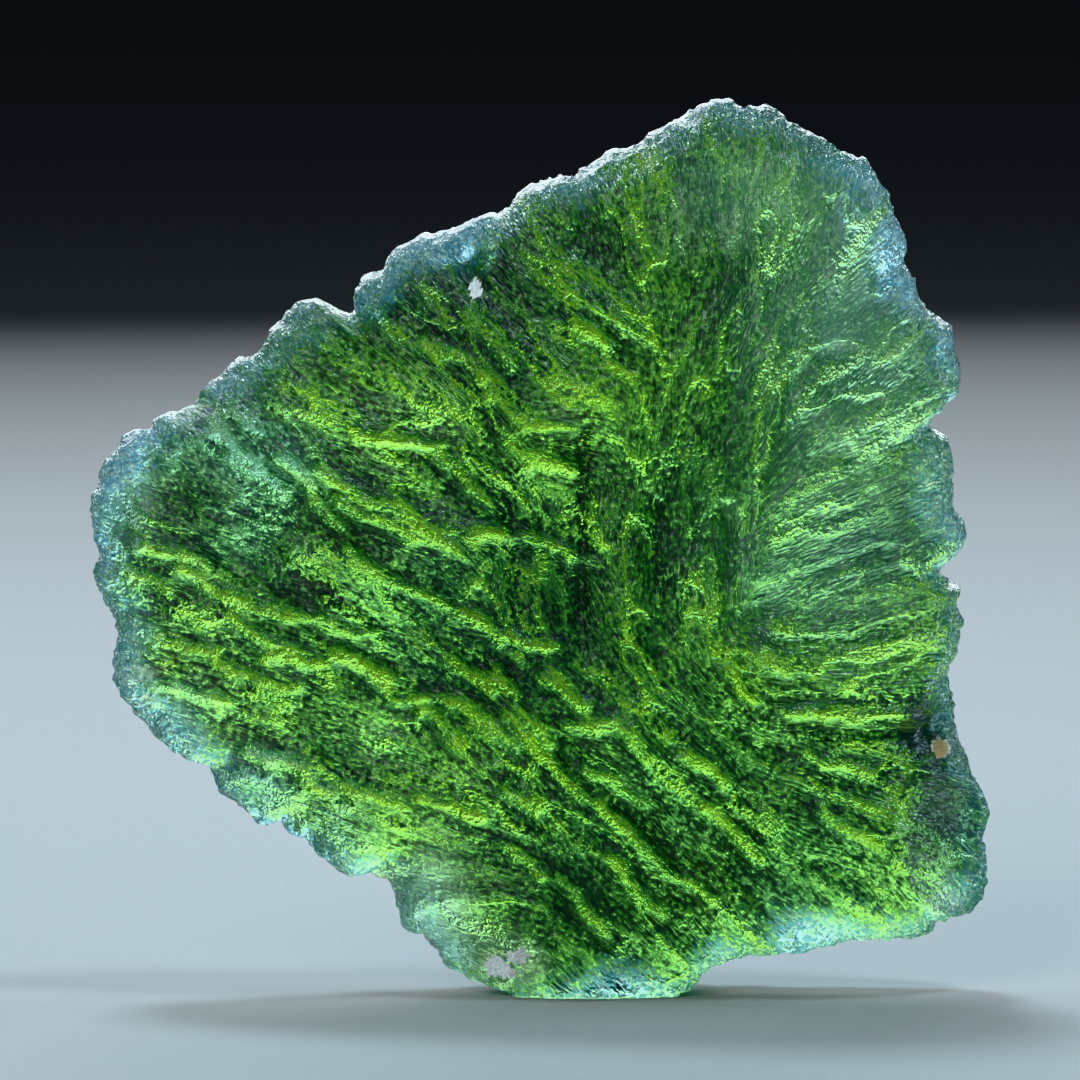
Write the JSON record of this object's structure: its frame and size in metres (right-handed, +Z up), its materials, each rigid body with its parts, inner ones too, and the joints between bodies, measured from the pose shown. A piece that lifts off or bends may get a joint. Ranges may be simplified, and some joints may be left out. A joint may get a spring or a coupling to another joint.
{
  "type": "moldavite",
  "caption": "Plate of natural green glass with flow-etched ridges on both faces and a blunt chipped rim, standing upright on a small flat spot.",
  "frame": {"origin": "on the surface it stands on, under the middle of the stone's box", "axes": "+Z up, +X to the right as seen from the front, the front face looks along -Y"},
  "size_m": [0.038, 0.0102, 0.038],
  "materials": {
    "green_glass": "clear bottle-green natural glass, etched: glossy on ridge crests and chips, finely pitted between them"
  },
  "bodies": {
    "root": {"moldavite": "green_glass"}
  },
  "joints": []
}
